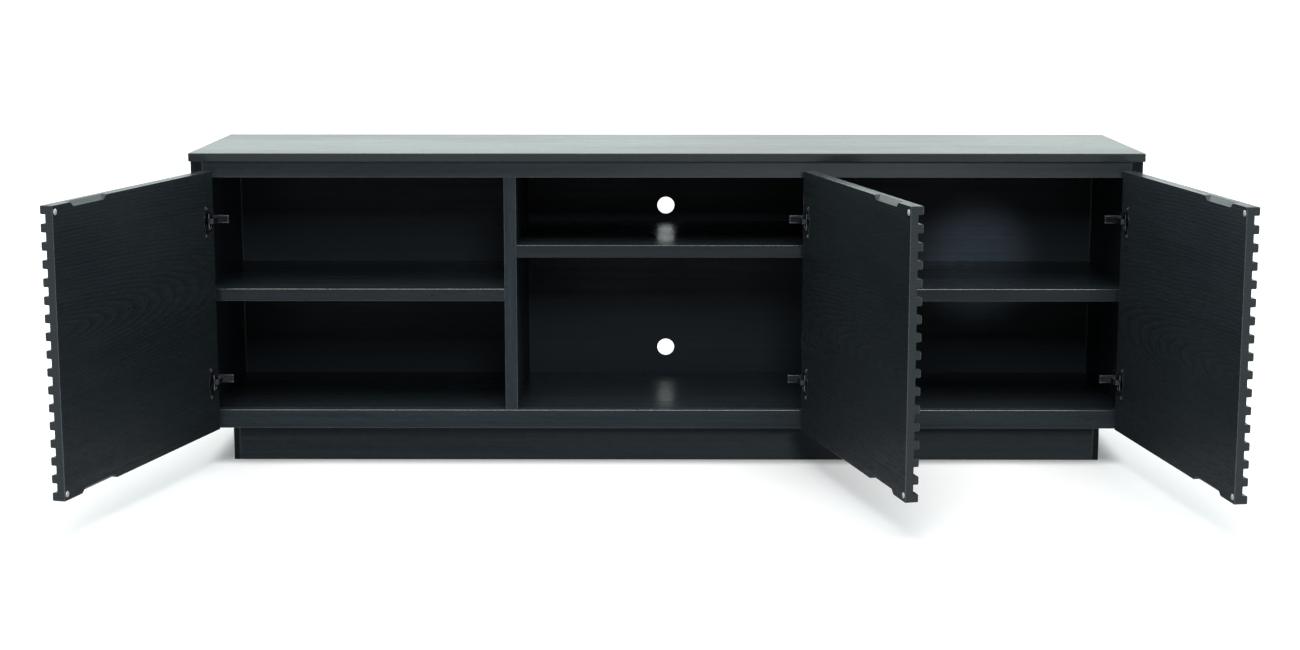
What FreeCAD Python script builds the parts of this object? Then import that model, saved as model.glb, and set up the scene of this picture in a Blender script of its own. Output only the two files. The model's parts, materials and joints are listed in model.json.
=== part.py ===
# Media cabinet with three ribbed doors on concealed cup hinges.
# Millimetres. +X to the right, +Y to the back, +Z up. Origin on the floor, at the
# centre of the width and of the depth. The doors are drawn standing open.
import FreeCAD, Part
import math
import os

V = FreeCAD.Vector

# Carcass
WIDTH = 1800.0
DEPTH = 430.0
HEIGHT = 608.0
TOP_T = 16.0
TOP_OVERHANG = 20.0
SIDE_T = 22.0
DIVIDER_T = 24.0
BOTTOM_T = 22.0
BACK_T = 8.0
BACK_INSET = 12.0
RAIL_T = 20.0
TOP_RAIL_H = 32.0
BOTTOM_RAIL_H = 36.0
BOARD_EASE = 1.0

# Shelves and their pins
SHELF_T = 24.0
SHELF_SETBACK = 2.0
SIDE_SHELF_TOP = 347.0
CENTRE_SHELF_TOP = 431.0
PIN_R = 2.5
PIN_DEPTH = 8.0
PIN_FROM_ENDS = 50.0

# Plinth
RAIL_CLEAR = 76.0
PLINTH_INSET = 54.5
PLINTH_SETBACK = 62.0
PLINTH_T = 12.0

# Cable holes in the back panel
CABLE_R = 17.5
CABLE_HEIGHTS = (165.5, 463.0)

# Doors
DOOR_GAP = 4.0
DOOR_REVEAL = 6.0
DOOR_H = 496.0
DOOR_BOTTOM = 79.0
DOOR_CORE_T = 14.0
DOOR_BACK_GAP = 2.0
RIBS = 17
RIB_H = 14.0
RIB_DEPTH = 9.0
RIB_ROUND = 2.0
GROOVE_ROUND = 1.0
PULL_LENGTH = 124.0
PULL_TAPER = 10.5
PULL_FACE_H = 8.0
PULL_EDGE_DEPTH = 11.0
PULL_FROM_FREE_EDGE = 121.0
BUMPER_R = 5.4
BUMPER_T = 1.8
BUMPER_FROM_SIDE = 8.0
BUMPER_FROM_END = 11.0

# Concealed hinges: the link turns LINK_RATE degrees for each degree the door opens
HINGE_FROM_END = 94.0
CUP_R = 17.5
CUP_DEPTH = 12.0
CUP_WALL = 1.5
CUP_FLOOR = 1.0
CUP_CENTRE = 22.5
FLANGE_T = 1.0
FLANGE_RIM = 1.5
CUP_SCREW_LINE = 9.5
CUP_SCREW_SPACING = 52.0
WING_R = 5.5
SCREW_R = 1.6
SCREW_L = 9.0
SCREW_HEAD_R = 3.6
SCREW_HEAD_T = 0.8
LINK_RATE = 0.43
ARM_PIVOT = (45.5, 2.4)
CUP_PIVOT = (13.7, 3.2)
ARM_PIVOT_OVERLAY = 16.0
LINK_BENDS = ((20.4, 1.2), (9.1, -7.9), (4.5, -9.2))
LINK_HALF_T = 1.2
LINK_HALF_W = 5.0
EYE_R = 2.6
PIVOT_R = 1.5
PIVOT_CLEARANCE = 0.05
EAR_GAP = 0.4
EAR_T = 1.8
ARM_TAIL = 62.0
ARM_BACK = ((10.0, ARM_TAIL), (10.0, 16.0), (15.0, 8.0), (44.0, 4.9))
ARM_WEB_T = 1.5
NOSE_WEB_T = 1.0
NOSE_WEB_SHARE = 0.94
PLATE_T = 3.0
PLATE_NEAR = 20.0
PLATE_FAR = 66.0
PLATE_HALF_H = 8.0
PLATE_WING_HALF_H = 22.0
PLATE_WING_HALF_W = 6.0
PLATE_SCREW_FROM_FRONT = 37.0
PLATE_SCREW_SPACING = 32.0

# Derived
HALF_W = WIDTH / 2
FRONT = -DEPTH / 2 + TOP_OVERHANG
REAR = DEPTH / 2
UNDER_TOP = HEIGHT - TOP_T
BACK_FACE = REAR - BACK_INSET - BACK_T
FLOOR_TOP = RAIL_CLEAR + BOTTOM_RAIL_H
PLINTH_H = FLOOR_TOP - BOTTOM_T
SIDE_INNER = HALF_W - SIDE_T
BAY_W = (2 * SIDE_INNER - 2 * DIVIDER_T) / 3
DIVIDER_INNER = BAY_W / 2
DIVIDER_OUTER = DIVIDER_INNER + DIVIDER_T
DOOR_W = (WIDTH - 2 * DOOR_REVEAL - 2 * DOOR_GAP) / 3
DOOR_TOP = DOOR_BOTTOM + DOOR_H
RIB_PITCH = (DOOR_H - RIB_H) / (RIBS - 1)
SIDE_OVERLAY = SIDE_T - DOOR_REVEAL
CENTRE_OVERLAY = DOOR_W / 2 - BAY_W / 2
HINGE_HEIGHTS = (DOOR_BOTTOM + HINGE_FROM_END, DOOR_TOP - HINGE_FROM_END)

# name, face the hinge is screwed to, direction into the bay, overlay, opening angle drawn
DOORS = (
    ("left", -SIDE_INNER, 1, SIDE_OVERLAY, 104.5),
    ("centre", DIVIDER_INNER, -1, CENTRE_OVERLAY, 103.5),
    ("right", SIDE_INNER, -1, SIDE_OVERLAY, 98.0),
)


def box(x0, x1, y0, y1, z0, z1):
    low = V(min(x0, x1), min(y0, y1), min(z0, z1))
    return Part.makeBox(abs(x1 - x0), abs(y1 - y0), abs(z1 - z0), low)


def prism(points, direction):
    """Solid swept from a closed outline along a vector."""
    wire = Part.makePolygon(list(points) + [points[0]])
    return Part.Face(wire).extrude(direction)


def joined(shapes):
    solid = shapes[0].multiFuse(shapes[1:])
    return solid.removeSplitter()


def export(name, *solids):
    shape = solids[0] if len(solids) == 1 else Part.makeCompound(list(solids))
    shape.exportStep("parts/" + name + ".step")


def eased(solid, picks, radius=BOARD_EASE):
    """Round the edges whose centre and direction satisfy picks."""
    edges = [e for e in solid.Edges if picks(e.CenterOfMass, e.tangentAt(e.FirstParameter))]
    return solid.makeFillet(radius, edges)


def along_x(tangent):
    return abs(tangent.x) > 0.99


# ---------------------------------------------------------------- carcass


def top_panel():
    board = box(-HALF_W, HALF_W, -DEPTH / 2, REAR, UNDER_TOP, HEIGHT)
    return eased(board, lambda c, t: abs(t.z) > 0.5 or c.z > HEIGHT - 0.1)


def pin_axes(shelf_top):
    z = shelf_top - SHELF_T - PIN_R
    front = FRONT + SHELF_SETBACK + PIN_FROM_ENDS
    return [(y, z) for y in (front, BACK_FACE - PIN_FROM_ENDS)]


def pin(face_x, into_bay, y, z):
    start = V(face_x - into_bay * PIN_DEPTH, y, z)
    return Part.makeCylinder(PIN_R, 2 * PIN_DEPTH, start, V(into_bay, 0, 0))


def pins_at(face_x, into_bay, shelf_top):
    return [pin(face_x, into_bay, y, z) for y, z in pin_axes(shelf_top)]


def all_pins():
    """Shelf pins by the board that holds them."""
    return {
        "left_side_panel": pins_at(-SIDE_INNER, 1, SIDE_SHELF_TOP),
        "left_divider": pins_at(-DIVIDER_OUTER, -1, SIDE_SHELF_TOP)
        + pins_at(-DIVIDER_INNER, 1, CENTRE_SHELF_TOP),
        "right_divider": pins_at(DIVIDER_OUTER, 1, SIDE_SHELF_TOP)
        + pins_at(DIVIDER_INNER, -1, CENTRE_SHELF_TOP),
        "right_side_panel": pins_at(SIDE_INNER, -1, SIDE_SHELF_TOP),
    }


def side_panel(side):
    board = box(side * SIDE_INNER, side * HALF_W, FRONT, REAR, RAIL_CLEAR, UNDER_TOP)
    return eased(board, lambda c, t: abs(t.z) > 0.5 and abs(c.x) > HALF_W - 0.1)


def divider(side):
    board = box(
        side * DIVIDER_INNER, side * DIVIDER_OUTER, FRONT, BACK_FACE, FLOOR_TOP, UNDER_TOP
    )
    board = eased(board, lambda c, t: abs(t.z) > 0.5 and c.y < FRONT + 0.1)
    return board.cut(top_rail())


def top_rail():
    low = UNDER_TOP - TOP_RAIL_H
    return box(-SIDE_INNER, SIDE_INNER, FRONT, FRONT + RAIL_T, low, UNDER_TOP)


def bottom_rail():
    board = box(-SIDE_INNER, SIDE_INNER, FRONT, FRONT + RAIL_T, RAIL_CLEAR, FLOOR_TOP)
    return eased(board, lambda c, t: along_x(t) and c.y < FRONT + 0.1 and c.z > FLOOR_TOP - 0.1)


def bottom_panel():
    return box(-SIDE_INNER, SIDE_INNER, FRONT + RAIL_T, BACK_FACE, PLINTH_H, FLOOR_TOP)


def back_panel():
    board = box(-SIDE_INNER, SIDE_INNER, BACK_FACE, BACK_FACE + BACK_T, RAIL_CLEAR, UNDER_TOP)
    for z in CABLE_HEIGHTS:
        board = board.cut(Part.makeCylinder(CABLE_R, BACK_T, V(0, BACK_FACE, z), V(0, 1, 0)))
    return board


def shelf(x0, x1, top):
    front = FRONT + SHELF_SETBACK
    board = box(x0, x1, front, BACK_FACE, top - SHELF_T, top)
    return eased(board, lambda c, t: along_x(t) and c.y < front + 0.1)


def plinth():
    outer = HALF_W - PLINTH_INSET
    inner = outer - PLINTH_T
    front = FRONT + PLINTH_SETBACK
    return {
        "plinth_left_board": box(-outer, -inner, front, BACK_FACE, 0, PLINTH_H),
        "plinth_right_board": box(inner, outer, front, BACK_FACE, 0, PLINTH_H),
        "plinth_front_board": box(-inner, inner, front, front + PLINTH_T, 0, PLINTH_H),
        "plinth_back_board": box(-inner, inner, BACK_FACE - PLINTH_T, BACK_FACE, 0, PLINTH_H),
        "plinth_centre_brace": box(
            -PLINTH_T / 2, PLINTH_T / 2, front + PLINTH_T, BACK_FACE - PLINTH_T, 0, PLINTH_H
        ),
    }


# ---------------------------------------------------------------- doors and hinges


class Swing:
    """Plan of one door's hinges. u runs into the bay from the face the hinge is screwed
    to, v runs back from the front of the carcass; a and b run along and into the closed
    door from the hinge-side edge of its back."""

    def __init__(self, face_x, into_bay, overlay, opening):
        self.face_x = face_x
        self.into_bay = into_bay
        self.overlay = overlay
        self.opening = opening
        self.arm_pivot = (ARM_PIVOT[0] + ARM_PIVOT_OVERLAY - overlay, ARM_PIVOT[1])

    def at(self, u, v, z=0.0):
        return V(self.face_x + self.into_bay * u, FRONT + v, z)

    def on_door(self, a, b, z=0.0):
        return self.at(a - self.overlay, -DOOR_BACK_GAP - b, z)

    def turn_link(self, solid):
        moved = solid.copy()
        pivot = self.at(*self.arm_pivot)
        moved.rotate(pivot, V(0, 0, 1), self.into_bay * LINK_RATE * self.opening)
        return moved

    def turn_door(self, solid):
        moved = self.turn_link(solid)
        pivot = self.turn_link(Part.Vertex(self.on_door(*CUP_PIVOT))).Point
        moved.rotate(pivot, V(0, 0, 1), -self.into_bay * (1 + LINK_RATE) * self.opening)
        return moved


def door_outline(swing):
    """Closed door seen from its hinge side: flat back, ribs on the front."""
    core = DOOR_CORE_T
    face = DOOR_CORE_T + RIB_DEPTH
    points = [(0, DOOR_TOP), (0, DOOR_BOTTOM)]
    for i in range(RIBS):
        low = DOOR_BOTTOM + i * RIB_PITCH
        rib = [(core, low), (face, low), (face, low + RIB_H), (core, low + RIB_H)]
        points += rib[1:] if i == 0 else rib
    points = points[:-1]
    return [swing.on_door(0, b, z) for b, z in points]


def finger_pull(swing, edge_z, into_door):
    """Wedge cut from the back edge, with slanted ends."""
    middle = DOOR_W - PULL_FROM_FREE_EDGE
    half = PULL_LENGTH / 2
    ends = [(middle - half, 0), (middle + half, 0), (middle + half - PULL_TAPER, PULL_FACE_H)]
    ends.append((middle - half + PULL_TAPER, PULL_FACE_H))
    face = [swing.on_door(a, 0, edge_z + into_door * depth) for a, depth in ends]
    outline = prism(face, V(0, -PULL_EDGE_DEPTH, 0))
    slope = [(0, 0), (PULL_EDGE_DEPTH, 0), (0, PULL_FACE_H)]
    side = [swing.on_door(middle - half, b, edge_z + into_door * depth) for b, depth in slope]
    return outline.common(prism(side, V(swing.into_bay * PULL_LENGTH, 0, 0)))


def door_panel(swing, bores):
    panel = prism(door_outline(swing), V(swing.into_bay * DOOR_W, 0, 0))
    face_y = swing.on_door(0, DOOR_CORE_T + RIB_DEPTH).y
    root_y = swing.on_door(0, DOOR_CORE_T).y
    panel = eased(panel, lambda c, t: along_x(t) and abs(c.y - face_y) < 0.1, RIB_ROUND)
    panel = eased(panel, lambda c, t: along_x(t) and abs(c.y - root_y) < 0.1, GROOVE_ROUND)
    pulls = [finger_pull(swing, DOOR_TOP, -1), finger_pull(swing, DOOR_BOTTOM, 1)]
    return panel.cut(pulls + bores)


def bumpers(swing):
    heights = (DOOR_BOTTOM + BUMPER_FROM_END, DOOR_TOP - BUMPER_FROM_END)
    a = DOOR_W - BUMPER_FROM_SIDE
    back = V(0, 1, 0)
    return [Part.makeCylinder(BUMPER_R, BUMPER_T, swing.on_door(a, 0, z), back) for z in heights]


def cup_bore(swing, z):
    return Part.makeCylinder(CUP_R, CUP_DEPTH, swing.on_door(CUP_CENTRE, 0, z), V(0, -1, 0))


def cup_pin(swing, z):
    reach = math.sqrt((CUP_R - CUP_WALL / 2) ** 2 - (CUP_CENTRE - CUP_PIVOT[0]) ** 2)
    start = swing.on_door(*CUP_PIVOT, z - reach)
    return Part.makeCylinder(PIVOT_R, 2 * reach, start, V(0, 0, 1))


def cup_screw(swing, z):
    a = CUP_CENTRE + CUP_SCREW_LINE
    shank = Part.makeCylinder(
        SCREW_R, SCREW_L + FLANGE_T, swing.on_door(a, SCREW_L, z), V(0, 1, 0)
    )
    head = Part.makeCylinder(SCREW_HEAD_R, SCREW_HEAD_T, swing.on_door(a, -FLANGE_T, z), V(0, 1, 0))
    return joined([shank, head])


def cup_screws(swing, z):
    return [cup_screw(swing, z + side * CUP_SCREW_SPACING / 2) for side in (-1, 1)]


def hinge_cup(swing, z):
    """Pressed cup with a flange carrying two screw wings."""
    back = V(0, 1, 0)
    cup = cup_bore(swing, z)
    rim = Part.makeCylinder(CUP_R + FLANGE_RIM, FLANGE_T, swing.on_door(CUP_CENTRE, 0, z), back)
    line = CUP_CENTRE + CUP_SCREW_LINE
    half = CUP_SCREW_SPACING / 2
    ends = [
        Part.makeCylinder(WING_R, FLANGE_T, swing.on_door(line, 0, z + side * half), back)
        for side in (-1, 1)
    ]
    low = swing.on_door(line - WING_R, 0, z - half)
    high = swing.on_door(line + WING_R, -FLANGE_T, z + half)
    bar = box(low.x, high.x, low.y, high.y, low.z, high.z)
    hollow_r = CUP_R - CUP_WALL
    hollow = Part.makeCylinder(
        hollow_r,
        CUP_DEPTH - CUP_FLOOR + FLANGE_T,
        swing.on_door(CUP_CENTRE, CUP_DEPTH - CUP_FLOOR, z),
        back,
    )
    solid = joined([cup, rim, bar] + ends)
    return solid.cut([hollow, cup_pin(swing, z)] + cup_screws(swing, z))


def pivot(swing, point, z, radius, half):
    return Part.makeCylinder(radius, 2 * half, swing.at(*point, z - half), V(0, 0, 1))


def strip(swing, start, end, z):
    """One straight run of the link, with round ends."""
    run = math.hypot(end[0] - start[0], end[1] - start[1])
    across = ((start[1] - end[1]) / run * LINK_HALF_T, (end[0] - start[0]) / run * LINK_HALF_T)
    corners = [
        (point[0] + side * across[0], point[1] + side * across[1])
        for point, side in ((start, 1), (end, 1), (end, -1), (start, -1))
    ]
    plate = prism([swing.at(u, v, z - LINK_HALF_W) for u, v in corners], V(0, 0, 2 * LINK_HALF_W))
    return [plate, pivot(swing, end, z, LINK_HALF_T, LINK_HALF_W)]


def hinge_link(swing, z):
    cup_end = (CUP_PIVOT[0] - swing.overlay, -DOOR_BACK_GAP - CUP_PIVOT[1])
    shift = swing.arm_pivot[0] - ARM_PIVOT[0]
    bends = [(u + shift, v) for u, v in LINK_BENDS]
    path = [swing.arm_pivot] + bends + [cup_end]
    pieces = [pivot(swing, end, z, EYE_R, LINK_HALF_W) for end in (path[0], path[-1])]
    for start, end in zip(path, path[1:]):
        pieces += strip(swing, start, end, z)
    bore = PIVOT_R + PIVOT_CLEARANCE
    holes = [pivot(swing, end, z, bore, LINK_HALF_W) for end in (path[0], path[-1])]
    return joined(pieces).cut(holes)


def arm_pin(swing, z):
    return pivot(swing, swing.arm_pivot, z, PIVOT_R, LINK_HALF_W + EAR_GAP + EAR_T)


def arm_ear(swing, low):
    """Side plate of the arm, from its tail to the eye round the arm pivot."""
    shift = swing.arm_pivot[0] - ARM_PIVOT[0]
    tip_u, tip_v = swing.arm_pivot
    back = [ARM_BACK[0], ARM_BACK[1], ARM_BACK[2], (ARM_BACK[3][0] + shift, ARM_BACK[3][1])]
    front = [(tip_u, tip_v - EYE_R), (PLATE_T + EYE_R, tip_v - EYE_R)]
    front += [(PLATE_T, 2 * EYE_R), (PLATE_T, ARM_TAIL)]
    plate = prism([swing.at(u, v, low) for u, v in back + front], V(0, 0, EAR_T))
    eye = Part.makeCylinder(EYE_R, EAR_T, swing.at(tip_u, tip_v, low), V(0, 0, 1))
    return joined([plate, eye])


def nose_web(swing, z, half):
    """Web that joins the ears behind the link, short of the eye."""
    start = V(*ARM_BACK[2])
    end = V(*ARM_BACK[3]) + V(swing.arm_pivot[0] - ARM_PIVOT[0], 0)
    end = start + (end - start) * NOSE_WEB_SHARE
    thick = V(0, -NOSE_WEB_T)
    corners = (start, end, end + thick, start + thick)
    return prism([swing.at(c.x, c.y, z - half) for c in corners], V(0, 0, 2 * half))


def hinge_arm(swing, z):
    half = LINK_HALF_W + EAR_GAP
    ears = [arm_ear(swing, z - half - EAR_T), arm_ear(swing, z + half)]
    near = swing.at(PLATE_T, ARM_BACK[1][1], z - half)
    far = swing.at(PLATE_T + ARM_WEB_T, ARM_TAIL, z + half)
    web = box(near.x, far.x, near.y, far.y, near.z, far.z)
    return joined(ears + [web, nose_web(swing, z, half)]).cut(arm_pin(swing, z))


def plate_screws(swing, z):
    screws = []
    for side in (-1, 1):
        at = swing.at(PLATE_T, PLATE_SCREW_FROM_FRONT, z + side * PLATE_SCREW_SPACING / 2)
        into_face = V(-swing.into_bay, 0, 0)
        shank = Part.makeCylinder(SCREW_R, PLATE_T + SCREW_L, at, into_face)
        head = Part.makeCylinder(SCREW_HEAD_R, SCREW_HEAD_T, at, V(swing.into_bay, 0, 0))
        screws.append(joined([shank, head]))
    return screws


def mounting_plate(swing, z):
    middle = PLATE_SCREW_FROM_FRONT
    spans = (
        (PLATE_NEAR, PLATE_FAR, PLATE_HALF_H),
        (middle - PLATE_WING_HALF_W, middle + PLATE_WING_HALF_W, PLATE_WING_HALF_H),
    )
    arms = []
    for near_v, far_v, half in spans:
        low = swing.at(0, near_v, z - half)
        high = swing.at(PLATE_T, far_v, z + half)
        arms.append(box(low.x, high.x, low.y, high.y, low.z, high.z))
    return joined(arms).cut(plate_screws(swing, z))


def at_hinges(make, swing):
    return [make(swing, z) for z in HINGE_HEIGHTS]


def both(make, swing):
    return [solid for pair in at_hinges(make, swing) for solid in pair]


def export_door(name, swing):
    screws = both(cup_screws, swing)
    cups = at_hinges(cup_bore, swing)
    riding = {
        "door_panel": [door_panel(swing, cups + screws)],
        "door_bumpers": bumpers(swing),
        "hinge_cups": at_hinges(hinge_cup, swing),
        "cup_screws": screws,
        "cup_pins": at_hinges(cup_pin, swing),
    }
    for part, solids in riding.items():
        export(name + "_" + part, *[swing.turn_door(solid) for solid in solids])
    links = [swing.turn_link(solid) for solid in at_hinges(hinge_link, swing)]
    export(name + "_hinge_links", *links)
    export(name + "_hinge_arms", *at_hinges(hinge_arm, swing))
    export(name + "_arm_pins", *at_hinges(arm_pin, swing))
    export(name + "_mounting_plates", *at_hinges(mounting_plate, swing))
    export(name + "_plate_screws", *both(plate_screws, swing))


def export_carcass(screws):
    pins = all_pins()
    boards = {
        "left_side_panel": side_panel(-1),
        "right_side_panel": side_panel(1),
        "left_divider": divider(-1),
        "right_divider": divider(1),
    }
    for name, board in boards.items():
        export(name, board.cut(pins[name] + screws.get(name, [])))
    export("top_panel", top_panel())
    export("top_front_rail", top_rail())
    export("bottom_front_rail", bottom_rail())
    export("bottom_panel", bottom_panel())
    export("back_panel", back_panel())
    export("left_shelf", shelf(-SIDE_INNER, -DIVIDER_OUTER, SIDE_SHELF_TOP))
    export("centre_shelf", shelf(-DIVIDER_INNER, DIVIDER_INNER, CENTRE_SHELF_TOP))
    export("right_shelf", shelf(DIVIDER_OUTER, SIDE_INNER, SIDE_SHELF_TOP))
    export("shelf_pins", *[one for group in pins.values() for one in group])
    for name, board in plinth().items():
        export(name, board)


def main():
    os.makedirs("parts", exist_ok=True)
    hung_on = {"left": "left_side_panel", "centre": "right_divider", "right": "right_side_panel"}
    screws = {}
    for name, face_x, into_bay, overlay, opening in DOORS:
        swing = Swing(face_x, into_bay, overlay, opening)
        export_door(name, swing)
        screws[hung_on[name]] = both(plate_screws, swing)
    export_carcass(screws)


main()
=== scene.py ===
import json
import math

import bmesh
import bpy
from mathutils import Matrix, Vector

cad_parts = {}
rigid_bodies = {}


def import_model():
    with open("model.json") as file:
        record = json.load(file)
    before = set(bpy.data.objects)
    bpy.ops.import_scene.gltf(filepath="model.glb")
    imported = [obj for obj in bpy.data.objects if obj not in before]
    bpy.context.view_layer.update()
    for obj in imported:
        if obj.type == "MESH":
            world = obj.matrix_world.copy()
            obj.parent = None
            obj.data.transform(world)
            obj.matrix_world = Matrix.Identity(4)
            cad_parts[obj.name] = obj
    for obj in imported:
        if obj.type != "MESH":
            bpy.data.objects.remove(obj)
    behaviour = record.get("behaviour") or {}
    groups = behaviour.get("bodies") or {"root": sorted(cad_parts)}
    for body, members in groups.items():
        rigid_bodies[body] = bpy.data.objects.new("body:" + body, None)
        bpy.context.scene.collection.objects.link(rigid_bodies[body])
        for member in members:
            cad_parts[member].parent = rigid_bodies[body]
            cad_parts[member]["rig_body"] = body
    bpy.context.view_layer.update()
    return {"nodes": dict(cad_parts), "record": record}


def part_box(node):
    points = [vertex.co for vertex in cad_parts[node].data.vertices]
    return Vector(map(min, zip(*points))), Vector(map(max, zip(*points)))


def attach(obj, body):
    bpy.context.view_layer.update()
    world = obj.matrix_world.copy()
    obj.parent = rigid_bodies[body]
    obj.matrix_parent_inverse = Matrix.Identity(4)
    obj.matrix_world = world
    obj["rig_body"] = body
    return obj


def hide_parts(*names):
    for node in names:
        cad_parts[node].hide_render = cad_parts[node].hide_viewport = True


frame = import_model()
MM = 0.001

# Camera at the photograph's viewing angle
CAMERA_AT = (-0.0109, -4.4614, 0.9969)
CAMERA_PITCH = 0.1670
CAMERA_YAW = 0.0047
CAMERA_LENS = 62.69

# Studio
FLOOR_HALF = 40.0
FLOOR_PALE = (0.97, 0.97, 0.97, 1)
FLOOR_FILL = (0.36, 0.38, 0.40, 1)
FLOOR_LIFT = 0.15
WALL_BEHIND = (0.90, 1.0, 0.98, 1)
WALL_BEFORE = (0.17, 0.185, 0.20, 1)
WALL_SEEN = (1.0, 1.0, 1.0, 1)
WALL_TURN = (-0.25, 0.15)
SUN_STRENGTH = 3.0
SUN_TILT = math.radians(30)
SUN_ANGLE = math.radians(44)
# Blue glow low on the back of the right bay
BAY_GLOW_AT = (0.76, -3.0, 0.72)
BAY_GLOW_TO = (0.645, 0.195, 0.345)
BAY_GLOW_POWER = 150.0
BAY_GLOW_CONE = math.radians(4.9)
BAY_GLOW_TONE = (0.60, 0.76, 1.0)
BAY_GLOW_SIZE = 0.03
# Soft lights that reach only some nodes: place, aim, power, size, tone, nodes. One reaches the
# lower part of every bay's back, the other gets under the top's overhang.
WHITE = (1.0, 1.0, 1.0)
PALE_BLUE = (0.72, 0.87, 1.0)
FRONT_BOARDS = ("top_front_rail", "plinth_front_board")
GLOWS = {
    "back_glow": ((0.2, -3.4, 1.98), (0.0, 0.19, 0.25), 84.0, 1.0, PALE_BLUE, ("back_panel",)),
    "rail_glow": ((0.7, -3.2, 1.3), (0.3, -0.2, 0.57), 47.0, 0.6, WHITE, FRONT_BOARDS),
}
# Soft light on the backs of the outer doors: side, place, power
DOOR_GLOWS = (("left", (-0.45, -0.75, 1.30), 2.6), ("right", (0.55, -0.75, 1.25), 6.5))
DOOR_GLOW_SIZE = 0.4

# Dark stain
STAIN_DARK = (0.0078, 0.0128, 0.0165)
STAIN_LIGHT = (0.030, 0.039, 0.045)
STAIN_PORE = (0.004, 0.006, 0.008, 1)
# Pale stain of worn edges; also the colour of the painted highlight on a door's edge faces
STAIN_WORN_AND_HIGHLIGHT = (0.075, 0.088, 0.092, 1)
STAIN_SPOT = (0.006, 0.008, 0.010, 1)
STAIN_IOR = 1.34
GRAIN_RELIEF = 0.025 * MM
LACQUER_IOR = 1.8
LACQUER_ROUGHNESS = 0.12
RING_PITCH = 6.5 * MM
PITH_DEPTH = 32 * MM
PITH_TILT = math.radians(7)
# Lacquer and wear on the eased edges of a board
EDGE_WEAR = 1.6 * MM
EDGE_COAT = 1.0
THIN_EDGE_COAT = {"centre_shelf": 0.4, "top_panel": 0.5}
# Lacquer on the faces round a door's edge, and a painted highlight that pales their colour in place of
# their grazing reflection
BAND_COAT = 0.25
BAND_GLOSS = -0.12
BAND_PAINTED_HIGHLIGHT = 0.2

# Length of the grain, width across it, and thickness
LYING = ((1, 0, 0), (0, 1, 0), (0, 0, 1))
FACING = ((1, 0, 0), (0, 0, 1), (0, -1, 0))
UPRIGHT = ((0, 0, 1), (0, 1, 0), (-1, 0, 0))
RETURNING = ((0, 1, 0), (0, 0, 1), (1, 0, 0))

# node, axes, tone of the stain, figure, roughness, clear coat. The tone is painted light and shade: the
# same stain made lighter on the rails, sides and dividers and darker on the back panel, board by board
BOARDS = (
    ("top_panel", LYING, 0.75, 0.5, 0.23, 0.52),
    ("left_shelf", LYING, 1.0, 0.4, 0.24, 0.09),
    ("centre_shelf", LYING, 1.0, 0.4, 0.21, 0.05),
    ("right_shelf", LYING, 1.0, 0.4, 0.24, 0.09),
    ("bottom_panel", LYING, 0.8, 0.4, 0.26, 0.03),
    ("back_panel", FACING, 0.42, 0.25, 0.44, 0.0),
    ("top_front_rail", FACING, 1.25, 0.4, 0.28, 0.0),
    ("bottom_front_rail", FACING, 1.38, 0.4, 0.34, 0.0),
    ("plinth_front_board", FACING, 1.05, 0.4, 0.34, 0.0),
    ("plinth_back_board", FACING, 0.9, 0.5, 0.38, 0.0),
    ("left_side_panel", UPRIGHT, 1.2, 0.6, 0.34, 0.0),
    ("right_side_panel", UPRIGHT, 1.2, 0.6, 0.34, 0.0),
    ("left_divider", UPRIGHT, 1.5, 0.4, 0.34, 0.0),
    ("right_divider", UPRIGHT, 1.5, 0.4, 0.34, 0.0),
    ("plinth_left_board", RETURNING, 0.9, 0.5, 0.38, 0.0),
    ("plinth_right_board", RETURNING, 0.9, 0.5, 0.38, 0.0),
    ("plinth_centre_brace", RETURNING, 0.9, 0.5, 0.40, 0.0),
)
SIDES = ("left", "centre", "right")
# Doors' tone (painted light and shade, as on the boards), figure, roughness, clear coat
DOOR_FINISH = (0.74, 2.2, 0.34, 0.0)
# Filled marks on the door backs: place along and up from the middle, and radius
TWO_LOW_ONE_HIGH = ((0.156, -0.052, 0.003), (-0.205, -0.170, 0.0035), (0.141, -0.167, 0.003))
DOOR_SPOTS = {
    "left": ((0.049, -0.039, 0.003),),
    "centre": TWO_LOW_ONE_HIGH,
    "right": TWO_LOW_ONE_HIGH,
}
METAL_EDGE = 0.25 * MM

# Boards and doors, in millimetres
EASE = 1.2
HOLE_R = 17.5
HOLE_EASE = 0.6
RIBS = 17
RIB_H = 14.0
RIB_DEPTH = 9.0
RIB_ROUND = 2.0
ROOT_ROUND = 1.0
DOOR_CORE = 14.0
DOOR_EASE = 0.5
PULL_LENGTH = 124.0
PULL_TAPER = 10.5
PULL_FACE_H = 8.0
PULL_DEPTH = 11.0
PULL_FROM_FREE_EDGE = 121.0
CUP_BORE_DEPTH = 12.0

# Hardware
HEAD_R = 3.6
HEAD_H = 0.8
SHANK_R = 1.55
CORE_R = 1.1
THREAD_PITCH = 1.1
CROSS_HALF_W = 0.42
CROSS_REACH = 1.9
CROSS_DEPTH = 0.55
CUP_R = 17.5
CUP_INNER_R = 16.0
CUP_RIM_R = 19.0
CUP_EAR_LINE = 9.5
CUP_EAR_REACH = 26.0
CUP_EAR_R = 5.5
FLANGE_T = 1.0
STAR_SHIFT = 6.5
AROUND = 96
BUMPER_R = 5.4


# ---------------------------------------------------------------- materials


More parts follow.
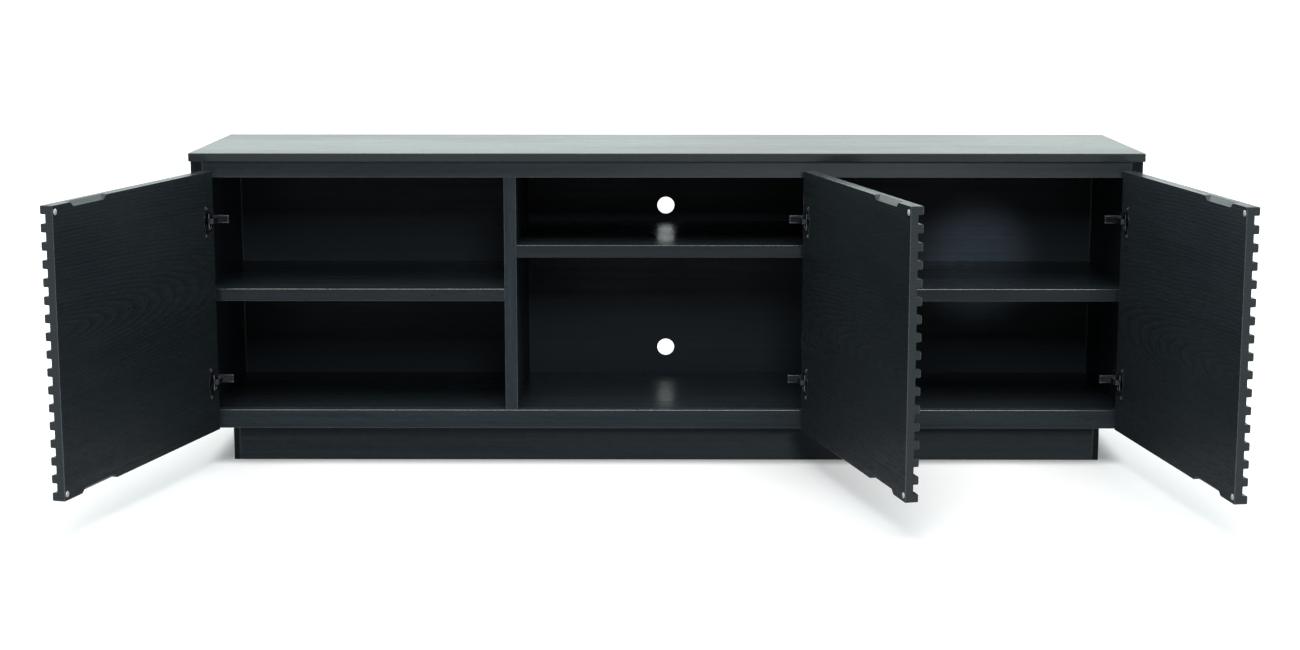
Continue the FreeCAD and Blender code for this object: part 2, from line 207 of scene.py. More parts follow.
class Nodes:
    """A node tree, and short ways to add to it."""

    def __init__(self, tree):
        self.tree = tree

    def set(self, socket, value):
        if isinstance(value, bpy.types.NodeSocket):
            self.tree.links.new(value, socket)
        else:
            socket.default_value = value

    def node(self, kind, inputs, **settings):
        made = self.tree.nodes.new("ShaderNode" + kind)
        for key, value in settings.items():
            setattr(made, key, value)
        for key, value in inputs.items():
            self.set(made.inputs[key], value)
        return made

    def place(self):
        return self.node("TexCoord", {}).outputs["Object"]

    def mapped(self, vector, scale=(1, 1, 1), turn=(0, 0, 0), shift=(0, 0, 0)):
        inputs = {"Vector": vector, "Scale": scale, "Rotation": turn, "Location": shift}
        return self.node("Mapping", inputs).outputs["Vector"]

    def noise(self, vector, scale=1.0, detail=4.0, rough=0.55):
        inputs = {"Vector": vector, "Scale": scale, "Detail": detail, "Roughness": rough}
        return self.node("TexNoise", inputs).outputs["Fac"]

    def ramp(self, value, low, high, to_low=0.0, to_high=1.0):
        inputs = {"Value": value, "From Min": low, "From Max": high}
        inputs.update({"To Min": to_low, "To Max": to_high})
        return self.node("MapRange", inputs).outputs["Result"]

    def math(self, operation, first, second=0.0):
        return self.node("Math", {0: first, 1: second}, operation=operation).outputs[0]

    def vector(self, operation, first, second=(0, 0, 0), output=0):
        made = self.node("VectorMath", {0: first, 1: second}, operation=operation)
        return made.outputs[output]

    def sum(self, *terms):
        """Sum of weighted values."""
        total = 0.0
        for weight, value in terms:
            total = self.math("ADD", total, self.math("MULTIPLY", value, weight))
        return total

    def blend(self, factor, first, second):
        inputs = {0: factor, 6: first, 7: second}
        return self.node("Mix", inputs, data_type="RGBA").outputs[2]

    def bump(self, height, distance):
        made = self.node("Bump", {"Height": height, "Strength": 1.0, "Distance": distance})
        return made.outputs["Normal"]


class Material(Nodes):
    """A material's node tree and its Principled shader."""

    def __init__(self, name):
        self.data = bpy.data.materials.new(name)
        self.data.use_nodes = True
        super().__init__(self.data.node_tree)
        self.shader = self.tree.nodes["Principled BSDF"]

    def finish(self, **sockets):
        for key, value in sockets.items():
            self.set(self.shader.inputs[key.replace("_", " ")], value)
        return self.data


def scaled(colour, factor):
    return tuple(min(1.0, factor * c) for c in colour[:3]) + (1,)


def growth_rings(m, board, seed):
    """Cathedral figure: rings round a pith that dips away under the face."""
    across = 0.05 * math.sin(2.1 * seed)
    pith = m.mapped(board, turn=(0, PITH_TILT, 0), shift=(0, across, PITH_DEPTH))
    pith = m.mapped(pith, scale=(0.12, 1, 1))
    inputs = {"Vector": pith, "Scale": 2 * math.pi / (20 * RING_PITCH), "Distortion": 7.0}
    inputs.update({"Detail": 4.0, "Detail Scale": 0.32, "Detail Roughness": 0.6})
    made = m.node("TexWave", inputs, wave_type="RINGS", rings_direction="X", wave_profile="SAW")
    return made.outputs["Fac"]


def edge_distance(m, board, half):
    """Distance to the board's nearest edge, for a point on one of its faces."""
    inside = m.vector("SUBTRACT", tuple(half), m.vector("ABSOLUTE", board))
    split = m.node("SeparateXYZ", {0: inside}).outputs
    low = m.math("MINIMUM", split[0], split[1])
    high = m.math("MAXIMUM", split[0], split[1])
    return m.math("MAXIMUM", low, m.math("MINIMUM", high, split[2]))


def lacquer_and_highlight_band(m, out):
    """Mask of the faces round a door's edge, where the lacquer lies thicker and a painted highlight pales
    the colour.
    """
    normal = m.node("TexCoord", {}).outputs["Normal"]
    facing = m.vector("DOT_PRODUCT", normal, out, output="Value")
    return m.ramp(m.math("ABSOLUTE", facing), 0.80, 0.65)


def spots(m, board, centres, back):
    """Small filled marks on the back face, as a mask."""
    mask = 0.0
    for along, up, size in centres:
        gap = m.vector("DISTANCE", board, (along, up, back), output="Value")
        mask = m.math("MAXIMUM", mask, m.ramp(gap, size * 1.25, size * 0.6))
    return mask


def open_grain(m, wood, rings, figure):
    """Patterns of the veneer: fine fibre, broader streaks, cloudy patches and open pores."""
    fibre = m.noise(m.mapped(wood, (2.0, 95, 95)), 1.0, 6.0, 0.66)
    streak = m.noise(m.mapped(wood, (1.1, 22, 22)), 1.0, 4.0, 0.55)
    pores = m.noise(m.mapped(wood, (34, 1250, 1250)), 1.0, 2.0, 0.5)
    cloud = m.noise(m.mapped(wood, (2.2, 5, 5)), 1.0, 3.0, 0.5)
    limit = m.math("SUBTRACT", pores, m.math("MULTIPLY", rings, 0.07 * figure))
    return fibre, streak, cloud, m.ramp(limit, 0.30, 0.40, 1.0, 0.0)


def worn_edge(m, wood, to_edge):
    """Mask of the chipped, paler stain along a board's edges."""
    chipped = m.noise(m.mapped(wood, (160, 160, 160)), 1.0, 3.0, 0.6)
    reach = m.math("MULTIPLY", m.ramp(chipped, 0.35, 0.7), EDGE_WEAR)
    return m.math("LESS_THAN", to_edge, reach)


def edge_lacquer(m, node, to_edge, coat):
    """Weight of the clear coat, which gathers on the eased edges."""
    eased = m.ramp(to_edge, 1.3 * EASE * MM, 0.9 * EASE * MM)
    edge_coat = THIN_EDGE_COAT.get(node, EDGE_COAT)
    return m.math("MAXIMUM", coat, m.math("MULTIPLY", eased, edge_coat))


def stain_colour(m, tone, figure, rings, grain, worn):
    """Dark stain: lighter along the figure, near black in the pores, pale where it is worn."""
    fibre, streak, cloud, open_pores = grain
    light = m.sum(
        (0.45, m.ramp(fibre, 0.32, 0.68)),
        (0.10, m.ramp(streak, 0.35, 0.65)),
        (0.34 * figure, rings),
        (0.18, m.ramp(cloud, 0.35, 0.65)),
    )
    # The tone lightens or darkens the whole stain board by board: painted light and shade
    colour = m.blend(light, scaled(STAIN_DARK, tone), scaled(STAIN_LIGHT, tone))
    colour = m.blend(m.math("MULTIPLY", open_pores, 0.7), colour, STAIN_PORE)
    return m.blend(m.math("MULTIPLY", worn, 0.55), colour, STAIN_WORN_AND_HIGHLIGHT)


def stain_roughness(m, gloss, grain, worn, lacquer_and_highlight):
    """Satin sheen, duller in the pores, in cloudy patches and on worn edges."""
    fibre, _, cloud, open_pores = grain
    return m.sum(
        (1.0, m.ramp(fibre, 0.3, 0.7, gloss + 0.05, gloss - 0.04)),
        (0.08, m.ramp(cloud, 0.4, 0.62)),
        (0.20, open_pores),
        (0.06, worn),
        (BAND_GLOSS, lacquer_and_highlight),
    )


def grain_normal(m, grain):
    fibre, streak, _, open_pores = grain
    height = m.sum((5.0, fibre), (1.5, streak), (-1.0, open_pores))
    return m.bump(height, GRAIN_RELIEF)


def stained_wood(node, axes, box, seed, finish, marks=()):
    """Open-grained veneer under a dark satin stain, on the board that fills a box."""
    tone, figure, gloss, coat = finish
    low, high = box
    half = (high - low) / 2
    m = Material("wood_" + node)
    turn = Matrix(axes).to_euler("XYZ")
    board = m.mapped(m.place(), turn=turn, shift=-(low + high) / 2)
    wood = m.vector("ADD", board, (seed * 1.37, seed * 0.71, seed * 0.53))
    rings = growth_rings(m, board, seed)
    grain = open_grain(m, wood, rings, figure)
    to_edge = edge_distance(m, board, half)
    worn = worn_edge(m, wood, to_edge)
    colour = stain_colour(m, tone, figure, rings, grain, worn)
    lacquer = edge_lacquer(m, node, to_edge, coat)
    lacquer_and_highlight = 0.0
    if marks:
        mask = m.math("MULTIPLY", spots(m, board, marks, half[2]), 0.75)
        colour = m.blend(mask, colour, STAIN_SPOT)
        lacquer_and_highlight = lacquer_and_highlight_band(m, axes[2])
        # Painted highlight: the faces round the door's edge are paled toward the worn-edge colour, in place
        # of their grazing reflection
        colour = m.blend(m.math("MULTIPLY", lacquer_and_highlight, BAND_PAINTED_HIGHLIGHT), colour, STAIN_WORN_AND_HIGHLIGHT)
        lacquer = m.math("MAXIMUM", lacquer, m.math("MULTIPLY", lacquer_and_highlight, BAND_COAT))
    return m.finish(
        Base_Color=colour,
        Roughness=stain_roughness(m, gloss, grain, worn, lacquer_and_highlight),
        Normal=grain_normal(m, grain),
        IOR=STAIN_IOR,
        Coat_Weight=lacquer,
        Coat_Roughness=LACQUER_ROUGHNESS,
        Coat_IOR=LACQUER_IOR,
    )


def plated_steel(name, colour, roughness, seed):
    """Plated steel: mottled, with fine drawn lines and a darker film in places."""
    m = Material(name)
    place = m.mapped(m.place(), shift=(seed, 0, 0))
    mottle = m.noise(place, 350.0, 4.0, 0.6)
    drawn = m.noise(m.mapped(place, (400, 400, 3200)), 1.0, 2.0, 0.5)
    grime = m.noise(place, 60.0, 3.0, 0.5)
    tint = m.blend(m.ramp(mottle, 0.3, 0.7), scaled(colour, 0.8), scaled(colour, 1.2))
    tint = m.blend(m.ramp(grime, 0.52, 0.75, 0.0, 0.5), tint, scaled(colour, 0.45))
    rough = m.sum(
        (1.0, m.ramp(drawn, 0.3, 0.7, roughness - 0.06, roughness + 0.08)),
        (0.10, m.ramp(grime, 0.5, 0.75)),
    )
    height = m.sum((0.5, drawn), (0.5, mottle))
    return m.finish(
        Base_Color=tint, Metallic=1.0, Roughness=rough, Normal=m.bump(height, 0.02 * MM)
    )


def milky_plastic(name):
    """Clear soft plastic that looks milky over the dark wood."""
    m = Material(name)
    haze = m.noise(m.place(), 520.0, 3.0, 0.5)
    tint = m.blend(m.ramp(haze, 0.3, 0.7), (0.55, 0.60, 0.61, 1), (0.78, 0.83, 0.84, 1))
    rough = m.ramp(haze, 0.3, 0.7, 0.14, 0.30)
    return m.finish(
        Base_Color=tint,
        Roughness=rough,
        Normal=m.bump(haze, 0.02 * MM),
        IOR=1.46,
        Subsurface_Weight=0.25,
        Subsurface_Radius=(0.002, 0.002, 0.002),
        Coat_Weight=0.4,
        Coat_Roughness=0.08,
    )


# ---------------------------------------------------------------- places in the frame


def local_box(points, axes):
    """Lowest and highest corner of some points, measured along three axes."""
    turned = [Matrix(axes) @ p for p in points]
    low = Vector([min(p[i] for p in turned) for i in range(3)])
    high = Vector([max(p[i] for p in turned) for i in range(3)])
    return low, high


def node_points(node):
    return [v.co for v in frame["nodes"][node].data.vertices]


def islands(node):
    """The node's separate solids, each as a list of its corners."""
    bm = bmesh.new()
    bm.from_mesh(frame["nodes"][node].data)
    bmesh.ops.remove_doubles(bm, verts=bm.verts, dist=0.001 * MM)
    left = set(bm.verts)
    found = []
    while left:
        reached = {left.pop()}
        edge = list(reached)
        while edge:
            near = {e.other_vert(v) for v in edge for e in v.link_edges} - reached
            reached |= near
            edge = list(near)
        left -= reached
        found.append([v.co.copy() for v in reached])
    bm.free()
    return sorted(found, key=lambda points: min((p.z, p.x, p.y) for p in points))


def middle(points):
    low, high = local_box(points, LYING)
    return (low + high) / 2


def door_axes(side):
    """Along the door from its hinge edge, up, and out from its flat back."""
    panel = frame["nodes"][side + "_door_panel"].data
    back = max(panel.polygons, key=lambda face: face.area)
    out = back.normal.normalized()
    up = Vector((0, 0, 1))
    along = up.cross(out)
    reach = middle(node_points(side + "_door_panel")) - middle(node_points(side + "_hinge_cups"))
    if along.dot(reach) < 0:
        along, up = -along, -up
    return tuple(tuple(v) for v in (along, up, out))


def bay_axes(side):
    """Back, up and into the bay from the board that carries a door's hinges."""
    arms = middle(node_points(side + "_hinge_arms"))
    plates = middle(node_points(side + "_mounting_plates"))
    into = 1 if arms.x > plates.x else -1
    return ((0, into, 0), (0, 0, 1), (into, 0, 0))


# ---------------------------------------------------------------- mesh pieces


def circle(radius, height, shift=0.0, count=AROUND):
    """Points of a circle, seen at even angles from the origin."""
    ring = []
    for i in range(count):
        angle = 2 * math.pi * i / count
        across = shift * math.sin(angle)
        reach = shift * math.cos(angle) + math.sqrt(radius**2 - across**2)
        ring.append((reach * math.cos(angle), reach * math.sin(angle), height))
    return ring


def loft(bm, matrix, rings):
    """Closed skin through rings of points, capped at both ends."""
    loops = [[bm.verts.new(matrix @ (MM * Vector(p))) for p in ring] for ring in rings]
    count = len(rings[0])
    for first, second in zip(loops, loops[1:]):
        for i in range(count):
            j = (i + 1) % count
            bm.faces.new((first[i], first[j], second[j], second[i]))
    bm.faces.new(list(reversed(loops[0])))
    bm.faces.new(loops[-1])


def turned(profile, count=32):
    return [circle(radius, height, count=count) for radius, height in profile]


def cross_ring(height, shrink=1.0, count=48):
    """Outline of a cross recess."""
    ring = []
    wide, reach = CROSS_HALF_W * shrink, CROSS_REACH * shrink
    for i in range(count):
        angle = 2 * math.pi * i / count
        c = max(abs(math.cos(angle)), 1e-6)
        s = max(abs(math.sin(angle)), 1e-6)
        r = max(min(reach / c, wide / s), min(reach / s, wide / c))
        ring.append((r * math.cos(angle), r * math.sin(angle), height))
    return ring


def screw(length):
    """Pan-head screw with a cross recess and a threaded shank, point down."""
    seat = length - HEAD_H
    profile = [(0.25, 0.0), (CORE_R, 1.6)]
    z = 1.8
    while z + THREAD_PITCH < seat - 0.6:
        crest = (SHANK_R, z + 0.5 * THREAD_PITCH)
        profile += [(CORE_R, z), crest, (CORE_R, z + 0.7 * THREAD_PITCH)]
        z += THREAD_PITCH
    profile += [(SHANK_R, seat - 0.3), (SHANK_R, seat)]
    head = ((-0.15, 0.0), (0.0, 0.12), (0.0, 0.35), (-0.25, 0.58), (-0.9, 0.72), (-1.6, 0.78))
    profile += [(HEAD_R + inset, seat + up) for inset, up in head]
    rings = turned(profile, 48)
    rings += [cross_ring(length - 0.01), cross_ring(length - 0.1, 0.94)]
    rings += [cross_ring(length - CROSS_DEPTH, 0.55)]
    return rings


def bumper(height):
    """Domed stick-on bumper."""
    shape = ((0.94, 0.0), (1.0, 0.12), (1.0, 0.45), (0.96, 0.8), (0.84, 1.2), (0.66, 1.5), (0.44, 1.68))
    skin = [(share * BUMPER_R, up) for share, up in shape]
    return turned(skin + [(1.0, 0.98 * height), (0.2, height)], 48)


def shelf_pin(length):
    """Turned pin with rounded ends and a groove at the face of the board."""
    r = 2.5
    half = length / 2
    shape = [(1.2, 0.0), (2.1, 0.35), (r, 1.0), (r, half - 0.5), (2.2, half - 0.3), (2.2, half + 0.1)]
    shape += [(r, half + 0.3), (r, length - 1.0), (2.1, length - 0.35), (1.2, length)]
    return turned(shape)


def rivet(length):
    """Hinge pivot with a rounded bead at each end."""
    r = 1.5
    shape = [(0.6, 0.0), (1.2, 0.15), (r, 0.5), (r, length - 0.5), (1.2, length - 0.15)]
    return turned(shape + [(0.6, length)], 24)


def ear_reach(cos, sin):
    """Reach of a ray from a point of the ear bar to the bar's outline."""
    offset = CUP_EAR_LINE - STAR_SHIFT
    best = 0.0
    steps = 24
    for i in range(steps + 1):
        z = CUP_EAR_REACH * (2 * i / steps - 1)
        toward = offset * cos + z * sin
        miss = offset**2 + z**2 - toward**2
        if miss < CUP_EAR_R**2:
            best = max(best, toward + math.sqrt(CUP_EAR_R**2 - miss))
    if abs(cos) > 1e-9:
        to_side = (offset + math.copysign(CUP_EAR_R, cos)) / cos
        if abs(to_side * sin) <= CUP_EAR_REACH:
            best = max(best, to_side)
    return best


def flange_ring(inset, height):
    """Outline of the cup's flange: the rim and its two screw ears."""
    ring = []
    for i in range(AROUND):
        angle = 2 * math.pi * i / AROUND
        c, s = math.cos(angle), math.sin(angle)
        rim = -STAR_SHIFT * c + math.sqrt(CUP_RIM_R**2 - (STAR_SHIFT * s) ** 2)
        r = max(rim, ear_reach(c, s)) - inset
        ring.append((r * c, r * s, height))
    return ring


def cup_ring(radius, height):
    return circle(radius, height, shift=-STAR_SHIFT)


def hinge_cup(height):
    """Pressed cup with a rolled rim, a flange with two ears and a stamped floor."""
    top = height
    seat = height - FLANGE_T
    outside = [(7.5, 0.0), (16.6, 0.0), (17.2, 0.3), (CUP_R, 0.9), (CUP_R, seat)]
    rings = [cup_ring(r, z) for r, z in outside]
    rings += [flange_ring(0.0, seat), flange_ring(0.0, top - 0.35), flange_ring(0.35, top)]
    inside = [(17.6, top), (16.9, top - 0.15), (16.3, top - 0.6), (CUP_INNER_R, top - 1.3)]
    inside += [(CUP_INNER_R, 2.0), (15.6, 1.3), (14.8, 1.0), (12.0, 1.0), (11.4, 1.3), (7.5, 1.3)]
    return rings + [cup_ring(r, z) for r, z in inside]


def link(made):
    bpy.context.scene.collection.objects.link(made)
    return made


def shade(mesh, angle=35):
    for face in mesh.polygons:
        face.use_smooth = True
    mesh.set_sharp_from_angle(angle=math.radians(angle))


def finished_piece(name, bm, node, material):
    """Turn a finished skin into the piece that stands for a CAD node."""
    bmesh.ops.recalc_face_normals(bm, faces=bm.faces)
    mesh = bpy.data.meshes.new(name)
    bm.to_mesh(mesh)
    bm.free()
    shade(mesh)
    mesh.materials.append(material)
    piece = link(bpy.data.objects.new(name, mesh))
    piece.modifiers.new("flat_faces", "WEIGHTED_NORMAL").keep_sharp = True
    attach(piece, frame["nodes"][node]["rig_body"])
    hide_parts(node)
    return piece


def stand_for(node, axes, make, material, shift=0.0):
    """Put a detailed piece in the place of each solid of a CAD node."""
    bm = bmesh.new()
    columns = Matrix(axes).transposed()
    for points in islands(node):
        low, high = local_box(points, axes)
        foot = Vector(((low.x + high.x) / 2 + shift, (low.y + high.y) / 2, low.z))
        matrix = Matrix.Translation(columns @ foot) @ columns.to_4x4()
        loft(bm, matrix, make((high.z - low.z) / MM))
    finished_piece(node + "_fine", bm, node, material)


# ---------------------------------------------------------------- boards and doors


def ease_edges(bm, width):
    """Round the edges between faces that meet at a corner."""
    sharp = [e for e in bm.edges if len(e.link_faces) == 2 and e.calc_face_angle() > 0.8]
    bmesh.ops.bevel(
        bm, geom=sharp, offset=width * MM, segments=3, profile=0.5, affect="EDGES", clamp_overlap=True
    )


def slab(outline, depth):
    """Solid board from its outline in the row frame, thickened along a vector."""
    bm = bmesh.new()
    face = bm.faces.new([bm.verts.new(p) for p in outline])
    swept = bmesh.ops.extrude_face_region(bm, geom=[face])["geom"]
    moved = [g for g in swept if isinstance(g, bmesh.types.BMVert)]
    bmesh.ops.translate(bm, verts=moved, vec=depth)
    bmesh.ops.recalc_face_normals(bm, faces=bm.faces)
    return bm


def plain_board(node):
    """Board with all its edges eased."""
    low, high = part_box(node)
    corners = ((low.x, low.y), (high.x, low.y), (high.x, high.y), (low.x, high.y))
    bm = slab([(x, y, low.z) for x, y in corners], (0, 0, high.z - low.z))
    ease_edges(bm, EASE)
    return bm


def notched_board(node):
    """Divider, cut away at its front top corner for the rail."""
    low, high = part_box(node)
    rail_low, rail_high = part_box("top_front_rail")
    outline = [(low.y, low.z), (high.y, low.z), (high.y, high.z)]
    outline += [(rail_high.y, high.z), (rail_high.y, rail_low.z), (low.y, rail_low.z)]
    bm = slab([(low.x, y, z) for y, z in outline], (high.x - low.x, 0, 0))
    ease_edges(bm, EASE)
    return bm


def hole_heights():
    """Heights of the cable holes in the back panel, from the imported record."""
    mounts = frame["record"]["mounts"]
    return sorted(m["pos_m"][2] for m in mounts if m["name"].endswith("cable_hole"))


def holed_board(node):
    """Back panel with eased cable holes: bands between the holes, rings round them."""
    low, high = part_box(node)
    bm = bmesh.new()
    heights = hole_heights()
    cuts = [low.z] + [(a + b) / 2 for a, b in zip(heights, heights[1:])] + [high.z]
    for (z0, z1), centre in zip(zip(cuts, cuts[1:]), heights):
        hole_band(bm, low, high, z0, z1, centre)
    bmesh.ops.remove_doubles(bm, verts=bm.verts, dist=0.01 * MM)
    return bm


def rectangle(ring, x0, x1, z0, z1):
    """Points of a ring moved out to a rectangle, one of them at each corner."""
    moved = []
    for x, z, _ in ring:
        reach = 1 / max(x / x0, x / x1, z / z0, z / z1)
        moved.append((reach * x, reach * z, 0.0))
    for corner in ((x0, z0), (x0, z1), (x1, z0), (x1, z1)):
        aim = math.atan2(corner[1], corner[0])
        nearest = min(range(len(ring)), key=lambda i: abs(math.atan2(ring[i][1], ring[i][0]) - aim))
        moved[nearest] = (corner[0], corner[1], 0.0)
    return moved


def hole_band(bm, low, high, z0, z1, centre):
    """Part of the panel round one hole, front, bore and back."""
    count = 64
    r = HOLE_R * MM
    ease = HOLE_EASE * MM
    steps = ((low.y, None), (low.y, r + ease), (low.y + 0.3 * ease, r + 0.3 * ease), (low.y + ease, r))
    steps += tuple((low.y + high.y - y, radius) for y, radius in reversed(steps))
    loops = []
    for y, radius in steps:
        ring = circle(radius or 1.0, y, count=count)
        if radius is None:
            ring = rectangle(ring, low.x, high.x, z0 - centre, z1 - centre)
        loops.append([bm.verts.new((x, y, centre + z)) for x, z, _ in ring])
    for first, second in zip(loops, loops[1:]):
        for i in range(count):
            j = (i + 1) % count
            bm.faces.new((first[i], first[j], second[j], second[i]))


def rib_outline(height):
    """Door seen from its end, as (up, out) points: ribs on the front, flat back at 0."""
    core = -DOOR_CORE
    tip = core - RIB_DEPTH
    pitch = (height - RIB_H) / (RIBS - 1)
    points = []
    for i in range(RIBS):
        low, high = i * pitch, i * pitch + RIB_H
        points += arc(low + RIB_ROUND, tip + RIB_ROUND, RIB_ROUND, 180, 270)
        points += arc(high - RIB_ROUND, tip + RIB_ROUND, RIB_ROUND, 270, 360)
        if i < RIBS - 1:
            points += arc(high + ROOT_ROUND, core - ROOT_ROUND, ROOT_ROUND, 180, 90)
            points += arc(low + pitch - ROOT_ROUND, core - ROOT_ROUND, ROOT_ROUND, 90, 0)
    return points


def arc(x, y, radius, start, end, steps=4):
    angles = [math.radians(start + (end - start) * i / steps) for i in range(steps + 1)]
    return [(x + radius * math.cos(a), y + radius * math.sin(a)) for a in angles]


def pull_corner(cut):
    """Back corner of the door, as (down from the edge, out) points, where the finger
    pull has been cut this deep into the back face."""
    slope = -PULL_DEPTH * (1 - cut / PULL_FACE_H)
    e = DOOR_EASE
    return [(0.0, -PULL_DEPTH), (cut, min(slope, -e)), (cut, -e), (cut + 0.3 * e, -0.3 * e), (cut + e, 0.0)]


def door_section(height, cut, inset):
    """Closed outline of the door at one station along its width."""
    corner = pull_corner(cut)
    points = rib_outline(height) + [(height - down, out) for down, out in corner]
    points += [(down, out) for down, out in reversed(corner)]
    middle_up, middle_out = height / 2, -(DOOR_CORE + RIB_DEPTH) / 2
    shrunk = []
    for up, out in points:
        up += inset if up < middle_up else -inset
        out += inset if out < middle_out else -inset
        shrunk.append((up, out))
    return shrunk


def door_stations(width):
    """Places along the width, each with the depth of the pulls and the end's easing."""
    e = DOOR_EASE
    centre = width - PULL_FROM_FREE_EDGE
    half = PULL_LENGTH / 2
    ends = [(0.0, 0.0, e), (0.3 * e, 0.0, 0.3 * e), (e, 0.0, 0.0)]
    pull = [(centre - half, 0.0, 0.0), (centre - half + PULL_TAPER, PULL_FACE_H, 0.0)]
    pull += [(centre + half - PULL_TAPER, PULL_FACE_H, 0.0), (centre + half, 0.0, 0.0)]
    return ends + pull + [(width - along, cut, inset) for along, cut, inset in reversed(ends)]


def bore_cups(piece, side, axes):
    """Cut the hinge cups' bores into the door's back."""
    bm = bmesh.new()
    columns = Matrix(axes).transposed()
    for points in islands(side + "_hinge_cups"):
        low, high = local_box(points, axes)
        foot = Vector(((low.x + high.x) / 2, (low.y + high.y) / 2, low.z))
        matrix = Matrix.Translation(columns @ foot) @ columns.to_4x4()
        loft(bm, matrix, turned([(CUP_R + 0.05, -0.05), (CUP_R + 0.05, CUP_BORE_DEPTH + 5)], 64))
    bmesh.ops.recalc_face_normals(bm, faces=bm.faces)
    mesh = bpy.data.meshes.new("bores")
    bm.to_mesh(mesh)
    bm.free()
    cutter = link(bpy.data.objects.new("bores", mesh))
    piece.modifiers.clear()
    cut = piece.modifiers.new("bores", "BOOLEAN")
    cut.object = cutter
    cut.solver = "EXACT"
    graph = bpy.context.evaluated_depsgraph_get()
    bored = bpy.data.meshes.new_from_object(piece.evaluated_get(graph))
    piece.modifiers.clear()
    piece.data = bored
    piece.modifiers.new("flat_faces", "WEIGHTED_NORMAL").keep_sharp = True
    shade(bored)
    bpy.data.objects.remove(cutter)


def door_board(side, axes, material):
    node = side + "_door_panel"
    low, high = local_box(node_points(node), axes)
    width, height = (high.x - low.x) / MM, (high.y - low.y) / MM
    columns = Matrix(axes).transposed()
    matrix = Matrix.Translation(columns @ Vector((low.x, low.y, high.z))) @ columns.to_4x4()
    rings = [
        [(along, up, out) for up, out in door_section(height, cut, inset)]
        for along, cut, inset in door_stations(width)
    ]
    bm = bmesh.new()
    loft(bm, matrix, rings)
    bmesh.ops.remove_doubles(bm, verts=bm.verts, dist=0.005 * MM)
    piece = finished_piece(node + "_fine", bm, node, material)
    bore_cups(piece, side, axes)


# ---------------------------------------------------------------- carried-over nodes


def soften(node, width):
    """Ease the sharp edges of a CAD node without touching its mesh."""
    piece = frame["nodes"][node]
    weld = piece.modifiers.new("weld", "WELD")
    weld.merge_threshold = 0.001 * MM
    bevel = piece.modifiers.new("ease", "BEVEL")
    bevel.width = width
    bevel.segments = 2
    bevel.limit_method = "ANGLE"
    bevel.angle_limit = math.radians(50)
    bevel.use_clamp_overlap = True
    bevel.harden_normals = True


def dress(node, material):
    data = frame["nodes"][node].data
    data.materials.clear()
    data.materials.append(material)


def build_boards():
    shapes = {"left_divider": notched_board, "right_divider": notched_board, "back_panel": holed_board}
    for seed, (node, axes, *finish) in enumerate(BOARDS, start=1):
        wood = stained_wood(node, axes, local_box(node_points(node), axes), seed, finish)
        bm = shapes.get(node, plain_board)(node)
        finished_piece(node + "_fine", bm, node, wood)


def build_door(side, seed):
    node = side + "_door_panel"
    axes = door_axes(side)
    box = local_box(node_points(node), axes)
    wood = stained_wood(node, axes, box, seed, DOOR_FINISH, DOOR_SPOTS[side])
    door_board(side, axes, wood)


def fit_hardware(side, finishes):
    black, dark, bright, steel, milky = finishes
    door, bay = door_axes(side), bay_axes(side)
    stand_for(side + "_door_bumpers", door, bumper, milky)
    stand_for(side + "_hinge_cups", door, hinge_cup, dark, STAR_SHIFT * MM)
    stand_for(side + "_cup_screws", door, screw, steel)
    stand_for(side + "_plate_screws", bay, screw, steel)
    stand_for(side + "_cup_pins", LYING, rivet, bright)
    stand_for(side + "_arm_pins", LYING, rivet, bright)
    for part, finish in (("_hinge_links", dark), ("_hinge_arms", black), ("_mounting_plates", black)):
        dress(side + part, finish)
        soften(side + part, METAL_EDGE)


def build_cabinet():
    black = plated_steel("black_nickel", (0.23, 0.245, 0.262), 0.36, 2.0)
    dark = plated_steel("dark_nickel", (0.095, 0.102, 0.110), 0.38, 4.0)
    bright = plated_steel("pin_nickel", (0.36, 0.38, 0.40), 0.30, 3.0)
    steel = plated_steel("zinc_steel", (0.46, 0.47, 0.48), 0.34, 1.0)
    milky = milky_plastic("milky_plastic")
    build_boards()
    for i, side in enumerate(SIDES):
        build_door(side, 31 + 3 * i)
        fit_hardware(side, (black, dark, bright, steel, milky))
    stand_for("shelf_pins", RETURNING, shelf_pin, bright)


# ---------------------------------------------------------------- studio


def make_camera():
    data = bpy.data.cameras.new("camera")
    data.lens = CAMERA_LENS
    data.sensor_width = 36.0
    camera = link(bpy.data.objects.new("camera", data))
    camera.location = CAMERA_AT
    camera.rotation_euler = (math.pi / 2 - CAMERA_PITCH, 0, CAMERA_YAW)
    bpy.context.scene.camera = camera


def make_floor():
    """Pale floor that throws back less light than it shows."""
    mesh = bpy.data.meshes.new("floor")
    s = FLOOR_HALF
    mesh.from_pydata([(-s, -s, 0), (s, -s, 0), (s, s, 0), (-s, s, 0)], [], [(0, 1, 2, 3)])
    floor = link(bpy.data.objects.new("floor", mesh))
    m = Material("floor_paint")
    cloud = m.noise(m.place(), 0.8, 2.0, 0.5)
    pale = m.blend(cloud, FLOOR_PALE, scaled(FLOOR_PALE, 0.98))
    seen = m.node("LightPath", {}).outputs["Is Camera Ray"]
    tone = m.blend(seen, FLOOR_FILL, pale)
    lift = m.math("MULTIPLY", seen, FLOOR_LIFT)
    m.finish(Base_Color=tone, Roughness=0.9, Specular_IOR_Level=0.0)
    mesh.materials.append(m.finish(Emission_Color=FLOOR_PALE, Emission_Strength=lift))


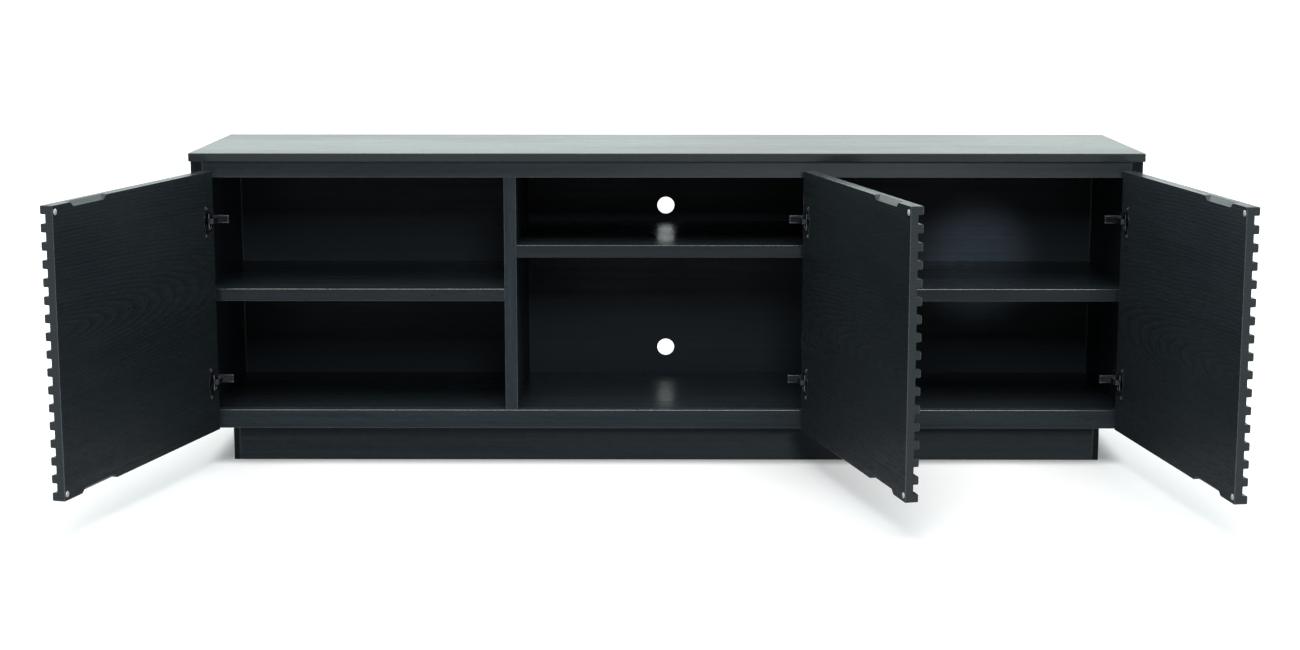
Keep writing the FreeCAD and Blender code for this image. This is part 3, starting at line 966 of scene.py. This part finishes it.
def make_world():
    """Bright studio behind the cabinet, dim one in front of it."""
    world = bpy.data.worlds.new("studio")
    bpy.context.scene.world = world
    world.use_nodes = True
    w = Nodes(world.node_tree)
    way = w.node("TexCoord", {}).outputs["Generated"]
    depth = w.node("SeparateXYZ", {0: way}).outputs["Y"]
    walls = w.blend(w.ramp(depth, *WALL_TURN), WALL_BEFORE, WALL_BEHIND)
    seen = w.node("LightPath", {}).outputs["Is Camera Ray"]
    w.set(w.tree.nodes["Background"].inputs["Color"], w.blend(seen, walls, WALL_SEEN))


def add_light(name, kind, location, target, nodes=(), **settings):
    """Light that reaches everything, or only the pieces that stand for some nodes."""
    data = bpy.data.lights.new(name, kind)
    for key, value in settings.items():
        setattr(data, key, value)
    light = link(bpy.data.objects.new(name, data))
    light.location = location
    aim = Vector(target) - Vector(location)
    light.rotation_euler = aim.to_track_quat("-Z", "Y").to_euler()
    light.visible_camera = False
    if nodes:
        receivers = bpy.data.collections.new(name + "_on")
        for node in nodes:
            receivers.objects.link(bpy.data.objects[node + "_fine"])
        light.light_linking.receiver_collection = receivers


def make_bay_glow():
    add_light(
        "bay_glow",
        "SPOT",
        BAY_GLOW_AT,
        BAY_GLOW_TO,
        ("back_panel",),
        energy=BAY_GLOW_POWER,
        color=BAY_GLOW_TONE,
        spot_size=BAY_GLOW_CONE,
        spot_blend=1.0,
        shadow_soft_size=BAY_GLOW_SIZE,
    )


def make_door_glow(side, place, power):
    node = side + "_door_panel"
    low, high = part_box(node)
    top = Vector(((low.x + high.x) / 2, (low.y + high.y) / 2, high.z))
    add_light(side + "_door_glow", "AREA", place, top, (node,), energy=power, size=DOOR_GLOW_SIZE)


def make_lights():
    above = (0, -math.sin(SUN_TILT), math.cos(SUN_TILT))
    add_light("overhead", "SUN", above, (0, 0, 0), energy=SUN_STRENGTH, angle=SUN_ANGLE)
    make_bay_glow()
    for name, (place, aim, power, size, tone, nodes) in GLOWS.items():
        add_light(name, "AREA", place, aim, nodes, energy=power, size=size, color=tone)
    for side, place, power in DOOR_GLOWS:
        make_door_glow(side, place, power)


bpy.context.scene.view_settings.view_transform = "Standard"
build_cabinet()
make_world()
make_floor()
make_lights()
make_camera()
